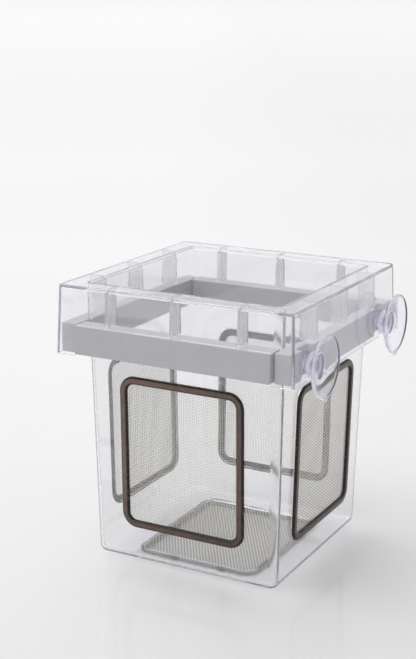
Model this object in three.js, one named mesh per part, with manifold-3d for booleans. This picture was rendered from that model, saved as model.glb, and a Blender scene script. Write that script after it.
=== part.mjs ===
// Floating fish breeding box: a clear moulded tub with a wide flange and a hanging skirt,
// five stainless mesh windows held by brown ring frames, four foam float strips in the
// channel behind the skirt, and two suction cups that hang in slots on the right.
//
// Millimetres, +Z up. The front is -Y and the right side, with the cups, is +X.
// The origin is under the middle of the whole object, on the surface that it stands on.
import * as THREE from "three";
import { mergeGeometries, mergeVertices } from "three/addons/utils/BufferGeometryUtils.js";
import Module from "manifold-3d";

// Clear box: tub, flange and skirt
const rimWidth = 131; // outer width of the flange, both ways
const flangeReach = 11.3; // from the flange's outer edge to the mouth
const flangeThick = 1.8;
const flangeEdge = 0.9; // rounding along the flange's outer edge
const mouthEdge = 0.5; // rounding along the mouth
const tubHeight = 148.4; // from the tub's underside to the top of the flange
const baseWidth = 105; // outer width of the tub at its floor
const tubWall = 1.6;
const tubCorner = 4; // outer radius of the upright corners
const floorThick = 2;
const heelRadius = 1.2; // outer rounding between walls and floor
const innerHeel = 1; // the same inside
const skirtDrop = 36.2; // from the top of the flange to the skirt's lower edge
const skirtWall = 1.6;
const skirtFlare = 1.3; // how much further out the lower edge is than the top
const skirtCorner = 2; // outer radius of the skirt's corners

// Ribs across the channel
const ribThick = 1.5;
const ribSpacing = 37; // from the middle rib to the outer ones
const ribEmbed = 0.6; // how far a blade runs into the walls that it joins
const ribAboveFloat = 0.4;

// Windows: ring frames and mesh
const ringWidth = 71; // across the wall
const ringUnderFloat = 10.9; // from a side frame's upper edge to the foam
const floorRingEnd = 11; // from the tub's lower edge to the end of the floor's frame
const ringCorner = 8.5;
const ringBar = 4.2; // width of the frame's bar
const ringProud = 1.8; // how far the frame stands out of the wall
const ringRound = 0.8; // rounding of the bar's front edges
const ringLap = 1.2; // how far the frame laps the wall round the opening
const ringLift = 19.3; // from the tub's underside to the frame's lower edge
const meshThick = 0.5;
const meshBar = 1.1; // width left between two gaps of the mesh
const seatGap = 0.3; // clearance between pieces that seat on each other

// Foam floats
const foamThick = 15;
const foamLift = 1; // from the skirt's lower edge to the foam
const foamProud = 0.5; // the front and back strips stand this far out of the skirt
const foamEndGap = 1.8; // between the end of one strip and the side of the next
const foamEdge = 0.9; // softened edges
const foamCorner = 2.4;
const notchCorner = 1.6;

// Suction cups and their slots
const cupFromEnd = 18.5; // from the end of the flange to each cup's axis
const cupRise = 7.6; // from the skirt's lower edge to the cup's axis
const cupRadius = 16;
const cupReach = 8.7; // from the skirt's lower edge out to the cup's rim
const cupLip = 0.7; // thickness at the rim
const cupFlat = 0.8; // width of the flat rim
const cupHollow = 3.8; // depth of the hollow face
const shoulderRadius = 7; // fluted body between the skirt and the disc
const shoulderLength = 3.1;
const fluteDepth = 0.45;
const neckRadius = 2.6;
const headRadius = 4.9;
const headThick = 2.4;
const slotClear = 0.35; // round the neck, each side
const grooveWidth = 13; // groove in the float for the cup's head
const grooveClear = 1.4; // from the back of the head to the groove's floor
const grooveCorner = 1.2;
const tabWidth = 4.2;
const tabLength = 3.2; // past the rim
const tabThick = 1.1;
const tabEmbed = 1.6; // how far the tab runs back over the lip

// Counts and shares
const cornerSteps = 5;
const heelSteps = 3;
const roundSteps = 2;
const cupSteps = 4;
const cupSides = 32;
const flutes = 8;
const meshColumns = 7;
const meshRows = 8;
const cupCurveShare = 1.35;
const hollowCurveShare = 1.8;
const domeShare = 0.55;
const crownShare = 0.72;
const innerCornerShare = 0.25; // inner radius of the skirt's corners against the outer

const overrun = 3; // how far every cut runs past the faces that it cuts

// Places worked out from the sizes above
const rimHalf = rimWidth / 2;
const mouthHalf = rimHalf - flangeReach;
const tubBaseHalf = baseWidth / 2;
const tubTopHalf = mouthHalf + tubWall;
const tubSlope = (tubTopHalf - tubBaseHalf) / tubHeight;
const draftAngle = Math.atan(tubSlope);
const undersideZ = ringProud; // the box stands on the floor's ring frame
const topZ = undersideZ + tubHeight;
const flangeUnderZ = topZ - flangeThick;
const skirtBottomZ = topZ - skirtDrop;
const skirtBottomHalf = rimHalf + skirtFlare;
const skirtInnerCorner = skirtCorner * innerCornerShare;
const foamBottomZ = skirtBottomZ + foamLift;
const foamTopZ = foamBottomZ + foamThick;
const ringBottomZ = undersideZ + ringLift;
const ringTopZ = foamBottomZ - ringUnderFloat;
const ringMidZ = (ringBottomZ + ringTopZ) / 2;
const wallRingLength = ringTopZ - ringBottomZ;
const floorRingLength = baseWidth - 2 * floorRingEnd;
const cupSpread = rimHalf - cupFromEnd;
const cupZ = skirtBottomZ + cupRise;
const cupRimX = skirtBottomHalf + cupReach;
const centreShift = (skirtBottomHalf - cupRimX) / 2;

// Half width of the tub's outside at a height.
function tubOuterHalf(z) {
  return tubBaseHalf + tubSlope * (z - undersideZ);
}

// Half width of the skirt's outside at a height.
function skirtOuterHalf(z) {
  return rimHalf + (skirtFlare * (topZ - z)) / skirtDrop;
}

function skirtInnerHalf(z) {
  return skirtOuterHalf(z) - skirtWall;
}

// The side strips slide down past the ring frames, so their inner faces clear them.
const sideFoamInner = tubOuterHalf(ringTopZ) + ringProud + seatGap;
const sideFoamOuter = skirtInnerHalf(foamTopZ) - seatGap;
const endFoamHalf = sideFoamInner - foamEndGap;
const endFoamInner = tubOuterHalf(foamTopZ) + seatGap;
const endFoamOuter = skirtBottomHalf + foamProud;

const wasm = await Module();
wasm.setup();

// Points of a rectangle with round corners, anticlockwise from the +X side.
function roundedLoop(halfX, halfY, corner) {
  const points = [];
  for (let quarter = 0; quarter < 4; quarter += 1) {
    const signX = quarter === 0 || quarter === 3 ? 1 : -1;
    const signY = quarter < 2 ? 1 : -1;
    for (let step = 0; step <= cornerSteps; step += 1) {
      const angle = ((quarter + step / cornerSteps) * Math.PI) / 2;
      const x = signX * (halfX - corner) + corner * Math.cos(angle);
      const y = signY * (halfY - corner) + corner * Math.sin(angle);
      points.push(new THREE.Vector2(x, y));
    }
  }
  return points;
}

// The same loop lifted to a height.
function loopAt(halfX, halfY, corner, z) {
  return roundedLoop(halfX, halfY, corner).map((p) => new THREE.Vector3(p.x, p.y, z));
}

// Round loop at a height, with flutes of the given depth.
function fluteLoop(radius, depth, z) {
  const points = [];
  for (let side = 0; side < cupSides; side += 1) {
    const angle = (side / cupSides) * 2 * Math.PI;
    const r = radius - (depth * (1 - Math.cos(flutes * angle))) / 2;
    points.push(new THREE.Vector3(r * Math.cos(angle), r * Math.sin(angle), z));
  }
  return points;
}

// Closed surface through loops of equal count. A loop of one point is a pole;
// without poles the last loop is joined to the first.
function skin(loops) {
  const vertices = [];
  const starts = [];
  for (const loop of loops) {
    starts.push(vertices.length / 3);
    for (const p of loop) vertices.push(p.x, p.y, p.z);
  }
  const faces = [];
  const open = loops[0].length === 1;
  const spans = open ? loops.length - 1 : loops.length;
  for (let k = 0; k < spans; k += 1) {
    const next = (k + 1) % loops.length;
    const sides = Math.max(loops[k].length, loops[next].length);
    for (let i = 0; i < sides; i += 1) {
      const j = (i + 1) % sides;
      const a = starts[k] + (loops[k].length === 1 ? 0 : i);
      const b = starts[k] + (loops[k].length === 1 ? 0 : j);
      const c = starts[next] + (loops[next].length === 1 ? 0 : j);
      const d = starts[next] + (loops[next].length === 1 ? 0 : i);
      if (a !== b) faces.push(a, b, c);
      if (c !== d) faces.push(a, c, d);
    }
  }
  const geometry = new THREE.BufferGeometry();
  geometry.setAttribute("position", new THREE.Float32BufferAttribute(vertices, 3));
  geometry.setIndex(faces);
  return geometry;
}

// Straight prism on an outline in X and Y, from z = from to z = to.
function prism(outline, from, to) {
  const settings = { depth: to - from, bevelEnabled: false };
  const geometry = new THREE.ExtrudeGeometry(new THREE.Shape(outline), settings);
  return geometry.translate(0, 0, from);
}

function toSolid(geometry) {
  const bare = geometry.clone();
  bare.deleteAttribute("normal");
  bare.deleteAttribute("uv");
  const merged = mergeVertices(bare);
  const mesh = new wasm.Mesh({
    numProp: 3,
    vertProperties: new Float32Array(merged.attributes.position.array),
    triVerts: new Uint32Array(merged.index.array),
  });
  return new wasm.Manifold(mesh);
}

function toGeometry(solid) {
  const mesh = solid.getMesh();
  const geometry = new THREE.BufferGeometry();
  geometry.setAttribute("position", new THREE.BufferAttribute(mesh.vertProperties, 3));
  geometry.setIndex(new THREE.BufferAttribute(mesh.triVerts, 1));
  return geometry;
}

// Frame of an upright side: X along it, Y up, Z outwards. Quarter 0 is the front,
// 1 the right, 2 the back and 3 the left.
function sideFrame(quarter, distance, height, lean) {
  const turn = new THREE.Matrix4().makeRotationZ((quarter * Math.PI) / 2);
  const place = new THREE.Matrix4().makeTranslation(0, -distance, height);
  const tip = new THREE.Matrix4().makeRotationX(Math.PI / 2 + lean);
  return turn.multiply(place).multiply(tip);
}

// Frame on the leaning outside of a tub wall, at the middle of its window.
function wallFrame(quarter) {
  return sideFrame(quarter, tubOuterHalf(ringMidZ), ringMidZ, draftAngle);
}

// Frame under the floor, with Z downwards.
function floorFrame() {
  const place = new THREE.Matrix4().makeTranslation(0, 0, undersideZ);
  return place.multiply(new THREE.Matrix4().makeRotationX(Math.PI));
}

// One skin for the whole moulding: out over the underside, up the tub's outside, across to
// the skirt, down and up round it, over the flange, and down the inside to the floor.
function shellGeometry() {
  const loops = [[new THREE.Vector3(0, 0, undersideZ)]];
  const square = (half, corner, z) => loops.push(loopAt(half, half, corner, z));
  for (let step = 0; step <= heelSteps; step += 1) {
    const angle = ((step / heelSteps) * Math.PI) / 2;
    const inset = heelRadius * (1 - Math.sin(angle));
    const rise = heelRadius * (1 - Math.cos(angle));
    square(tubOuterHalf(undersideZ + rise) - inset, tubCorner - inset, undersideZ + rise);
  }
  square(tubOuterHalf(flangeUnderZ), tubCorner, flangeUnderZ);
  square(skirtInnerHalf(flangeUnderZ), skirtInnerCorner, flangeUnderZ);
  square(skirtInnerHalf(skirtBottomZ), skirtInnerCorner, skirtBottomZ);
  square(skirtBottomHalf, skirtCorner, skirtBottomZ);
  for (let step = 0; step <= roundSteps; step += 1) {
    const angle = ((step / roundSteps) * Math.PI) / 2;
    const inset = flangeEdge * (1 - Math.cos(angle));
    const z = topZ - flangeEdge * (1 - Math.sin(angle));
    square(skirtOuterHalf(z) - inset, skirtCorner - inset, z);
  }
  const innerCorner = tubCorner - tubWall;
  square(mouthHalf + mouthEdge, innerCorner + mouthEdge, topZ);
  square(tubOuterHalf(topZ - mouthEdge) - tubWall, innerCorner, topZ - mouthEdge);
  const floorZ = undersideZ + floorThick;
  for (let step = 0; step <= heelSteps; step += 1) {
    const angle = ((step / heelSteps) * Math.PI) / 2;
    const inset = innerHeel * (1 - Math.cos(angle));
    const z = floorZ + innerHeel * (1 - Math.sin(angle));
    square(tubOuterHalf(z) - tubWall - inset, innerCorner - inset, z);
  }
  loops.push([new THREE.Vector3(0, 0, floorZ)]);
  return skin(loops);
}

// Blade that bridges the channel, from the flange down to just above the foam.
function ribGeometry(quarter, along) {
  const lowZ = foamTopZ + ribAboveFloat;
  const highZ = flangeUnderZ + ribEmbed;
  const blade = [
    new THREE.Vector2(tubOuterHalf(lowZ) - ribEmbed, lowZ),
    new THREE.Vector2(skirtInnerHalf(lowZ) + ribEmbed, lowZ),
    new THREE.Vector2(skirtInnerHalf(highZ) + ribEmbed, highZ),
    new THREE.Vector2(tubOuterHalf(highZ) - ribEmbed, highZ),
  ];
  const geometry = prism(blade, -ribThick / 2, ribThick / 2);
  const outwards = new THREE.Vector3(0, -1, 0);
  const upwards = new THREE.Vector3(0, 0, 1);
  const sideways = new THREE.Vector3().crossVectors(outwards, upwards);
  geometry.applyMatrix4(new THREE.Matrix4().makeBasis(outwards, upwards, sideways));
  geometry.translate(along, 0, 0);
  return geometry.rotateZ((quarter * Math.PI) / 2);
}

// Cut for a window, square to the wall or floor that it goes through.
function windowCut(frame, length, thick) {
  const halfX = ringWidth / 2 - ringLap;
  const halfY = length / 2 - ringLap;
  const outline = roundedLoop(halfX, halfY, ringCorner - ringLap);
  const cut = prism(outline, -thick - overrun, overrun);
  return cut.applyMatrix4(frame);
}

// Cut with round upper corners through one side of the skirt, open at the bottom.
function skirtCut(quarter, along, halfWidth, corner, upperZ) {
  const lowerZ = skirtBottomZ - corner - overrun;
  const halfHeight = (upperZ - lowerZ) / 2;
  const outline = roundedLoop(halfWidth, halfHeight, corner);
  const depth = skirtBottomHalf - skirtInnerHalf(upperZ) + overrun;
  const cut = prism(outline, -depth, overrun);
  cut.translate(along, 0, 0);
  return cut.applyMatrix4(sideFrame(quarter, skirtBottomHalf, upperZ - halfHeight, 0));
}

function clearBoxGeometry() {
  let solid = toSolid(shellGeometry());
  for (let quarter = 0; quarter < 4; quarter += 1) {
    for (const place of [-1, 0, 1]) {
      solid = solid.add(toSolid(ribGeometry(quarter, place * ribSpacing)));
    }
    solid = solid.subtract(toSolid(windowCut(wallFrame(quarter), wallRingLength, tubWall)));
  }
  solid = solid.subtract(toSolid(windowCut(floorFrame(), floorRingLength, floorThick)));
  const notchTop = foamTopZ + seatGap;
  for (const quarter of [0, 2]) {
    const notch = skirtCut(quarter, 0, endFoamHalf + seatGap, notchCorner, notchTop);
    solid = solid.subtract(toSolid(notch));
  }
  const slotHalf = neckRadius + slotClear;
  for (const side of [-1, 1]) {
    const slot = skirtCut(1, side * cupSpread, slotHalf, slotHalf, cupZ + slotHalf);
    solid = solid.subtract(toSolid(slot));
  }
  return toGeometry(solid);
}

// Ring frame: a flat-backed bar with round front edges.
function ringGeometry(length) {
  const section = [[0, seatGap]];
  for (let step = 0; step <= roundSteps; step += 1) {
    const angle = ((step / roundSteps) * Math.PI) / 2;
    const inset = ringRound * (1 - Math.cos(angle));
    section.push([inset, ringProud - ringRound * (1 - Math.sin(angle))]);
  }
  for (let step = roundSteps; step >= 0; step -= 1) {
    const angle = ((step / roundSteps) * Math.PI) / 2;
    const inset = ringBar - ringRound * (1 - Math.cos(angle));
    section.push([inset, ringProud - ringRound * (1 - Math.sin(angle))]);
  }
  section.push([ringBar, seatGap]);
  const loops = section.map(([inset, z]) =>
    loopAt(ringWidth / 2 - inset, length / 2 - inset, ringCorner - inset, z),
  );
  return skin(loops);
}

// Woven panel, drawn as a sheet with a grid of square gaps inside the frame's opening.
// It lies in the opening of the wall, and its edge is bonded to the back of the frame.
function meshGeometry(length) {
  const edge = ringLap + seatGap;
  const outline = roundedLoop(ringWidth / 2 - edge, length / 2 - edge, ringCorner - edge);
  const openX = ringWidth - 2 * ringBar;
  const openY = length - 2 * ringBar;
  const pitchX = openX / meshColumns;
  const pitchY = openY / meshRows;
  const gaps = [];
  for (let column = 0; column < meshColumns; column += 1) {
    for (let row = 0; row < meshRows; row += 1) {
      const gap = new THREE.BoxGeometry(pitchX - meshBar, pitchY - meshBar, meshThick + overrun);
      const x = (column + 1 / 2) * pitchX - openX / 2;
      const y = (row + 1 / 2) * pitchY - openY / 2;
      gaps.push(gap.translate(x, y, -meshThick / 2));
    }
  }
  const sheet = toSolid(prism(outline, -meshThick, 0));
  return toGeometry(sheet.subtract(toSolid(mergeGeometries(gaps))));
}

// Foam strip with softened edges between two opposite corners of its plan.
function foamGeometry(lowX, lowY, highX, highY) {
  const halfX = (highX - lowX) / 2;
  const halfY = (highY - lowY) / 2;
  const loops = [
    [new THREE.Vector3(0, 0, foamBottomZ)],
    loopAt(halfX - foamEdge, halfY - foamEdge, foamCorner - foamEdge, foamBottomZ),
    loopAt(halfX, halfY, foamCorner, foamBottomZ + foamEdge),
    loopAt(halfX, halfY, foamCorner, foamTopZ - foamEdge),
    loopAt(halfX - foamEdge, halfY - foamEdge, foamCorner - foamEdge, foamTopZ),
    [new THREE.Vector3(0, 0, foamTopZ)],
  ];
  return skin(loops).translate((lowX + highX) / 2, (lowY + highY) / 2, 0);
}

function frontFoamGeometry() {
  return foamGeometry(-endFoamHalf, -endFoamOuter, endFoamHalf, -endFoamInner);
}

function sideFoamGeometry() {
  return foamGeometry(sideFoamInner, -sideFoamOuter, sideFoamOuter, sideFoamOuter);
}

// The right strip has two upright grooves that the cups' heads sit in.
function groovedFoamGeometry() {
  let solid = toSolid(sideFoamGeometry());
  const floorX = cupHeadBackX() - grooveClear;
  const halfDepth = (sideFoamOuter + overrun - floorX) / 2;
  for (const side of [-1, 1]) {
    const outline = roundedLoop(halfDepth, grooveWidth / 2, grooveCorner);
    const groove = prism(outline, foamBottomZ - overrun, foamTopZ + overrun);
    groove.translate(floorX + halfDepth, side * cupSpread, 0);
    solid = solid.subtract(toSolid(groove));
  }
  return toGeometry(solid);
}

// Where the cup's shoulder meets the skirt, and where its head lies behind it.
function cupShoulderX() {
  return skirtOuterHalf(cupZ - shoulderRadius) + seatGap;
}

function cupHeadFrontX() {
  return skirtInnerHalf(cupZ + headRadius) - seatGap;
}

function cupHeadBackX() {
  return cupHeadFrontX() - headThick;
}

// Head, neck and fluted shoulder, from the pole at the back of the head outwards.
function cupStemLoops() {
  const headBack = cupHeadBackX();
  const headFront = cupHeadFrontX();
  const shoulder = cupShoulderX();
  return [
    [new THREE.Vector3(0, 0, headBack)],
    fluteLoop(headRadius * crownShare, 0, headBack),
    fluteLoop(headRadius, 0, headBack + headThick * domeShare),
    fluteLoop(headRadius, 0, headFront),
    fluteLoop(neckRadius, 0, headFront),
    fluteLoop(neckRadius, 0, shoulder),
    fluteLoop(shoulderRadius, fluteDepth, shoulder),
    fluteLoop(shoulderRadius, fluteDepth, shoulder + shoulderLength),
  ];
}

// Dished back, flat rim and hollow face, ending at the pole in the middle of the hollow.
function cupDiscLoops() {
  const discBack = cupShoulderX() + shoulderLength;
  const lipBack = cupRimX - cupLip;
  const innerRadius = cupRadius - cupFlat;
  const loops = [];
  for (let step = 1; step <= cupSteps; step += 1) {
    const t = step / cupSteps;
    const r = shoulderRadius + (cupRadius - shoulderRadius) * t;
    loops.push(fluteLoop(r, 0, discBack + (lipBack - discBack) * t ** cupCurveShare));
  }
  loops.push(fluteLoop(cupRadius, 0, cupRimX));
  for (let step = cupSteps; step >= 1; step -= 1) {
    const t = step / cupSteps;
    const depth = cupHollow * (1 - t ** hollowCurveShare);
    loops.push(fluteLoop(innerRadius * t, 0, cupRimX - depth));
  }
  loops.push([new THREE.Vector3(0, 0, cupRimX - cupHollow)]);
  return loops;
}

// Small round-ended tab below the rim, for a finger to peel the cup off.
function cupTabGeometry() {
  const halfLength = (tabLength + tabEmbed) / 2;
  const outline = roundedLoop(tabWidth / 2, halfLength, tabWidth / 2);
  const tab = prism(outline, cupRimX - tabThick, cupRimX);
  return tab.translate(0, tabEmbed - cupRadius - halfLength, 0);
}

// The cup stands on its axis here, which runs outwards from the middle of the box.
function cupGeometry() {
  const body = toSolid(skin([...cupStemLoops(), ...cupDiscLoops()]));
  return toGeometry(body.add(toSolid(cupTabGeometry())));
}

function clearPlastic() {
  return new THREE.MeshStandardMaterial({
    color: 0xeeeef4,
    roughness: 0.08,
    metalness: 0,
    transparent: true,
    opacity: 0.3,
  });
}

function brownPlastic() {
  return new THREE.MeshStandardMaterial({ color: 0x5c4840, roughness: 0.3, metalness: 0 });
}

function stainlessWire() {
  return new THREE.MeshStandardMaterial({ color: 0xc8c6be, roughness: 0.35, metalness: 0.9 });
}

function greyFoam() {
  return new THREE.MeshStandardMaterial({ color: 0xaaa9af, roughness: 0.85, metalness: 0 });
}

function softVinyl() {
  return new THREE.MeshStandardMaterial({
    color: 0xdcdcf2,
    roughness: 0.15,
    metalness: 0,
    transparent: true,
    opacity: 0.5,
  });
}

const box = new THREE.Group();
box.position.x = centreShift;

function addPiece(name, geometry, material) {
  const mesh = new THREE.Mesh(geometry, material);
  mesh.name = name;
  box.add(mesh);
  return mesh;
}

function addWindows() {
  const frames = {
    front: wallFrame(0),
    right: wallFrame(1),
    back: wallFrame(2),
    left: wallFrame(3),
    floor: floorFrame(),
  };
  for (const [place, frame] of Object.entries(frames)) {
    const length = place === "floor" ? floorRingLength : wallRingLength;
    addPiece(`${place}_ring`, ringGeometry(length), brownPlastic()).applyMatrix4(frame);
    addPiece(`${place}_mesh`, meshGeometry(length), stainlessWire()).applyMatrix4(frame);
  }
}

function addFloats() {
  addPiece("front_float", frontFoamGeometry(), greyFoam());
  addPiece("back_float", frontFoamGeometry(), greyFoam()).rotateZ(Math.PI);
  addPiece("right_float", groovedFoamGeometry(), greyFoam());
  addPiece("left_float", sideFoamGeometry(), greyFoam()).rotateZ(Math.PI);
}

function addCups() {
  const places = { near_cup: -cupSpread, far_cup: cupSpread };
  for (const [name, along] of Object.entries(places)) {
    const frame = sideFrame(1, 0, cupZ, 0);
    frame.multiply(new THREE.Matrix4().makeTranslation(along, 0, 0));
    addPiece(name, cupGeometry(), softVinyl()).applyMatrix4(frame);
  }
}

addPiece("clear_box", clearBoxGeometry(), clearPlastic());
addWindows();
addFloats();
addCups();

export default box;
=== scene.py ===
# Floating fish breeding box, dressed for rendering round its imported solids.
# Metres, +Z up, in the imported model's own frame: the front is -Y and the cups are on +X.
import math

import bpy
import numpy as np
from mathutils import Matrix, Vector


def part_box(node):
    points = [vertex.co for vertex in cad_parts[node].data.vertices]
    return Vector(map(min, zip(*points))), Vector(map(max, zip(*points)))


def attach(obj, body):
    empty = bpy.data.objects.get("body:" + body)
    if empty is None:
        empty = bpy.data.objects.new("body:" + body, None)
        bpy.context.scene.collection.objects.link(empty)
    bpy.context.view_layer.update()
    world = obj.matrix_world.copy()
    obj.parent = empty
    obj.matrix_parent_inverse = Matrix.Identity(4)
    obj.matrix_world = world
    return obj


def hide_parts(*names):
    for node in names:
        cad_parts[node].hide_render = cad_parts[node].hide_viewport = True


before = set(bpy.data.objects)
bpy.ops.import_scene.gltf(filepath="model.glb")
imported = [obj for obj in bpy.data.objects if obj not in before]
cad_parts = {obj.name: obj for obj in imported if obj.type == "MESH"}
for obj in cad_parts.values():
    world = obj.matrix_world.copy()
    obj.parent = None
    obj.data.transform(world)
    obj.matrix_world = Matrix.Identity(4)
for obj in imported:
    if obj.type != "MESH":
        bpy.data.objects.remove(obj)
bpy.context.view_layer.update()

bl_info = {
    "name": "Fish breeding box",
    "version": (1, 0, 0),
    "blender": (4, 5, 0),
    "location": "3D View > Sidebar > Breeding box",
    "description": "Makes the fine surfaces of a floating fish breeding box",
    "category": "Add Mesh",
}

BOX_LOW, BOX_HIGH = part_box("clear_box")
MIDDLE_X = (BOX_LOW.x + BOX_HIGH.x) / 2
UNDERSIDE = BOX_LOW.z
TOP = BOX_HIGH.z
SKIRT_BOTTOM_HALF = (BOX_HIGH.y - BOX_LOW.y) / 2
FLOAT_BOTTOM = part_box("front_float")[0].z
FLOAT_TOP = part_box("front_float")[1].z
CUP_RIM_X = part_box("near_cup")[1].x
QUARTER = math.pi / 2
RIGHT, UP = (1.0, 0.0, 0.0), (0.0, 0.0, 1.0)
# Each side with the quarter turns that carry the front to it
SIDES = {"front": 0, "right": 1, "back": 2, "left": 3}
# Faces round the moulding's heels, up its inner walls and round its upright corners
HEEL_STEPS, WALL_STEPS, CORNER_STEPS = 6, 9, 10
# Faces round the corners of the cuts for floats and cups, of the windows and of the rings
OPENING_STEPS, WINDOW_STEPS, RING_STEPS = 6, 8, 12
# Faces round the front edges of a ring's bar, round a wire and round a cup
BAR_STEPS, WIRE_SIDES, CUP_SIDES = 8, 4, 128
# Faces round a foam strip's upright corners and round its upper and lower edges
FOAM_CORNER_STEPS, FOAM_EDGE_STEPS = 5, 4
# How far a cut runs past what it cuts, in metres
OVERRUN = 0.003
PLASTIC_IOR, VINYL_IOR = 1.49, 1.52


def length(name, description, default):
    """One size in metres, as a property."""
    return bpy.props.FloatProperty(
        name=name, description=description, default=default, unit="LENGTH", precision=5
    )


def colour(name, description, default):
    """One linear colour, as a property."""
    return bpy.props.FloatVectorProperty(
        name=name, description=description, default=default, subtype="COLOR", size=3, min=0, max=1
    )


class MouldingSizes(bpy.types.PropertyGroup):
    flange_reach: length("Flange reach", "From the flange's edge to the mouth", 0.0113)
    flange_thick: length("Flange thickness", "Thickness of the flange", 0.0018)
    flange_edge: length("Flange edge", "Rounding along the flange's outer edge", 0.0009)
    mouth_edge: length("Mouth edge", "Rounding along the mouth", 0.0005)
    base_width: length("Base width", "Outer width of the tub at its floor", 0.105)
    wall: length("Tub wall", "Thickness of the tub's walls", 0.0016)
    tub_corner: length("Tub corner", "Outer radius of the upright corners", 0.0045)
    floor_thick: length("Floor thickness", "Thickness of the tub's floor", 0.002)
    heel: length("Heel", "Outer rounding between walls and floor", 0.0041)
    inner_heel: length("Inner heel", "Inner rounding between walls and floor", 0.0018)
    mouth_corner: length("Mouth corner", "Radius of the mouth's corners", 0.0024)
    root: length("Root fillet", "Fillet under the flange", 0.0003)
    skirt_drop: length("Skirt drop", "From the flange's top to the skirt's lower edge", 0.0362)
    skirt_wall: length("Skirt wall", "Thickness of the skirt", 0.0016)
    skirt_flare: length("Skirt flare", "How far the skirt's lower edge stands out", 0.0013)
    skirt_corner: length("Skirt corner", "Outer radius of the skirt's corners", 0.002)
    inner_corner: length("Inner corner", "Inner radius of the skirt's corners", 0.0005)
    skirt_edge: length("Skirt edge", "Rounding of the skirt's lower edge", 0.0003)
    rib_thick: length("Rib thickness", "Thickness of a rib at its middle", 0.0015)
    rib_spacing: length("Rib spacing", "From the middle rib to the outer ones", 0.037)
    rib_embed: length("Rib root", "How far a rib runs into what it joins", 0.0006)
    rib_clear: length("Rib clearance", "From the float to the rib's lower end", 0.0004)
    notch_corner: length("Notch corner", "Corner radius of the skirt's notches", 0.0009)
    notch_clear: length("Notch clearance", "Round the float in its notch", 0.00006)


class WindowSizes(bpy.types.PropertyGroup):
    ring_width: length("Ring width", "Across the wall", 0.071)
    ring_corner: length("Ring corner", "Outer corner radius of the ring frames", 0.0085)
    ring_bar: length("Ring bar", "Width of the frame's bar", 0.0042)
    ring_proud: length("Ring height", "How far the frame stands out of the wall", 0.0018)
    ring_round: length("Ring rounding", "Rounding of the bar's front edges", 0.0013)
    ring_lap: length("Ring lap", "How far the frame laps the wall", 0.0012)
    ring_lift: length("Ring lift", "From the tub's underside to the frame's lower edge", 0.0193)
    ring_under_float: length("Ring drop", "From the frame's upper edge to the foam", 0.0109)
    seat_gap: length("Seat gap", "Clearance between pieces that seat on each other", 0.0003)
    mesh_room: length("Mesh room", "Thickness of the space that holds the mesh", 0.0005)
    wire: length("Wire", "Diameter of the mesh's wires", 0.00022)
    pitch: length("Wire pitch", "From one wire of the mesh to the next", 0.00105)


class FloatSizes(bpy.types.PropertyGroup):
    edge: length("Foam edge", "Rounding of the cut edges", 0.0004)
    corner: length("Foam corner", "Radius of the corners in plan", 0.0009)
    bulge: length("Foam bulge", "How much the squeezed sides stand out", 0.00008)
    wave: length("Foam wave", "Unevenness left by the cutting wire", 0.00003)
    groove_width: length("Groove width", "Groove for a cup's head", 0.013)
    groove_corner: length("Groove corner", "Corner radius of the grooves", 0.0012)
    groove_clear: length("Groove clearance", "From a cup's head to the groove's floor", 0.0014)
    end_swell: length("End swell", "How much the side strips widen past the ring frames", 0.0012)


class CupSizes(bpy.types.PropertyGroup):
    spread: length("Cup spread", "From the side's middle to each cup", 0.047)
    rise: length("Cup rise", "From the skirt's lower edge to the cup's axis", 0.0076)
    radius: length("Disc radius", "Radius of the disc", 0.016)
    lip: length("Lip thickness", "Thickness at the rim", 0.0017)
    flat: length("Flat rim", "Width of the flat rim", 0.0008)
    hollow: length("Hollow depth", "Depth of the hollow face", 0.0044)
    body_radius: length("Body radius", "Ridged body behind the disc", 0.0066)
    body_length: length("Body length", "From the skirt to the disc's back", 0.0031)
    ridge_depth: length("Ridge depth", "Depth of the grooves between the body's ridges", 0.00045)
    neck_radius: length("Neck radius", "Neck in the skirt's slot", 0.0026)
    head_radius: length("Head radius", "Head behind the skirt", 0.0049)
    head_thick: length("Head thickness", "Thickness of the head", 0.0024)
    slot_clear: length("Slot clearance", "Round the neck in the skirt's slot", 0.00035)
    pad_radius: length("Pad radius", "Round pad in the middle of the hollow", 0.0078)
    pad_step: length("Pad step", "Height of that pad's edge", 0.0003)
    tab_length: length("Tab length", "Finger tab past the rim", 0.0017)
    tab_width: length("Tab width", "Width of the finger tab", 0.0024)


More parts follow.
